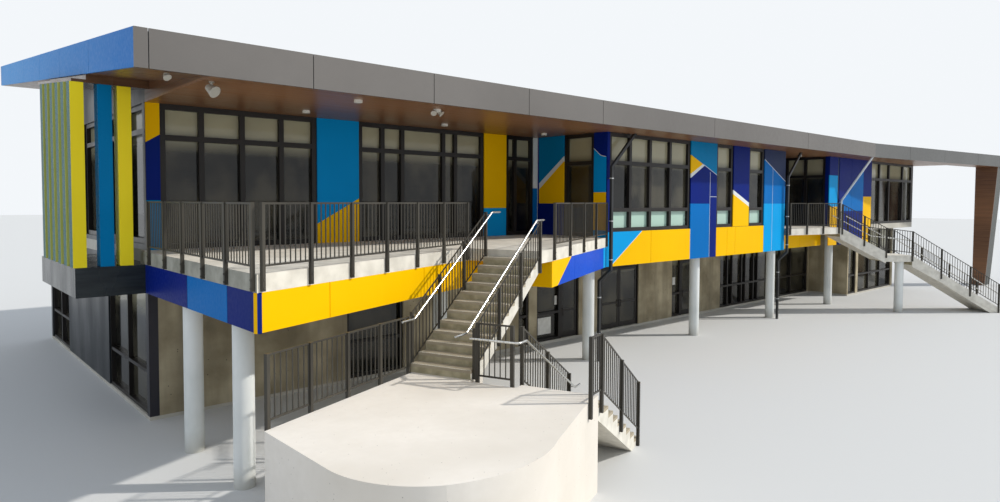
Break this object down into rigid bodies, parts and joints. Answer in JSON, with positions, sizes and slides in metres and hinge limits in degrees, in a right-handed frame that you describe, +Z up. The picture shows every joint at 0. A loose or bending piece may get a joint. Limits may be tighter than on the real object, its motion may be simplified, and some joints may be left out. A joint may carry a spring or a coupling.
{
  "type": "school building, scale model at 1:2",
  "caption": "Long two-storey school building with a flat overhanging eave, a raised balcony, outside stairs and bright yellow and blue cladding panels.",
  "frame": {"origin": "front left corner of the main walls, at ground level", "axes": "+X along the front wall to the right, +Y into the building, +Z up"},
  "size_m": [23.535, 11.6225, 4.741],
  "materials": {
    "concrete": "matt cast concrete",
    "precast": "matt precast concrete panels",
    "dark_cladding": "satin dark grey sheet",
    "frame": "satin powder coat",
    "glass": "clear",
    "green_glass": "tinted back-painted glass",
    "column_paint": "satin paint",
    "deck": "broomed concrete",
    "cladding_yellow": "gloss coated panel",
    "cladding_blue": "gloss coated panel",
    "cladding_light_blue": "gloss coated panel",
    "cladding_navy": "gloss coated panel",
    "cladding_teal": "gloss coated panel",
    "cladding_white": "gloss coated panel",
    "fascia": "satin metallic sheet",
    "fascia_dark": "satin metallic sheet",
    "roof_sheet": "matt long-run sheet",
    "soffit_board": "satin timber-look board",
    "guard": "satin powder coat",
    "handrail": "brushed",
    "pipe": "satin paint",
    "lamp": "opal lamp",
    "pipe_white": "satin paint"
  },
  "bodies": {
    "building": {"ground_slab": "concrete", "ground_corner_post": "dark_cladding", "ground_front_wall": "precast", "ground_far_wall": "precast", "ground_frames": "frame", "ground_glass": "glass", "end_walls": "dark_cladding", "rear_wall": "dark_cladding", "columns": "column_paint", "upper_floor_slab": "concrete", "block_slabs": "concrete", "balcony_slabs": "deck", "balcony_bands": "cladding_yellow", "bay_plates": "dark_cladding", "bay_fins": "cladding_teal", "upper_front_wall": "dark_cladding", "block_front_walls": "dark_cladding", "main_cladding": "cladding_blue", "block_cladding": "cladding_navy", "upper_frames": "frame", "upper_glass": "glass", "spandrels": "green_glass", "front_header": "dark_cladding", "roof_slab": "roof_sheet", "long_fascias": "fascia", "end_fascias": "fascia", "canopy": "roof_sheet", "canopy_fascia": "fascia_dark", "front_soffit": "soffit_board", "end_soffit": "soffit_board", "eave_gusset": "soffit_board", "pillar": "fascia_dark", "pillar_boards": "soffit_board", "stair_waists": "concrete", "stair_treads": "concrete", "far_stair_landing": "concrete", "podium": "deck", "balcony_guard_posts": "guard", "balcony_guard_panels": "guard", "stair_guard_posts": "guard", "stair_guard_panels": "guard", "handrails": "handrail", "downpipes": "pipe", "soffit_lights": "lamp", "white_pipe": "pipe_white"},
    "poster_door": {"poster_door_leaf": "frame", "poster_door_glass": "glass"},
    "double_door_left": {"double_door_left_leaf": "frame", "double_door_left_glass": "glass"},
    "double_door_right": {"double_door_right_leaf": "frame", "double_door_right_glass": "glass"},
    "side_door": {"side_door_leaf": "frame", "side_door_glass": "glass"}
  },
  "joints": [
    {"name": "poster_door_hinge", "type": "hinge", "parent": "building", "child": "poster_door", "pos_m": [7.082, 0.045, 0.6], "axis": [0, 0, 1], "range_deg": [0, 90]},
    {"name": "double_door_left_hinge", "type": "hinge", "parent": "building", "child": "double_door_left", "pos_m": [7.788, 0.045, 0.6], "axis": [0, 0, -1], "range_deg": [0, 90]},
    {"name": "double_door_right_hinge", "type": "hinge", "parent": "building", "child": "double_door_right", "pos_m": [8.852, 0.045, 0.6], "axis": [0, 0, 1], "range_deg": [0, 90]},
    {"name": "side_door_hinge", "type": "hinge", "parent": "building", "child": "side_door", "pos_m": [10.832, 0.045, 0.6], "axis": [0, 0, 1], "range_deg": [0, 90]}
  ]
}
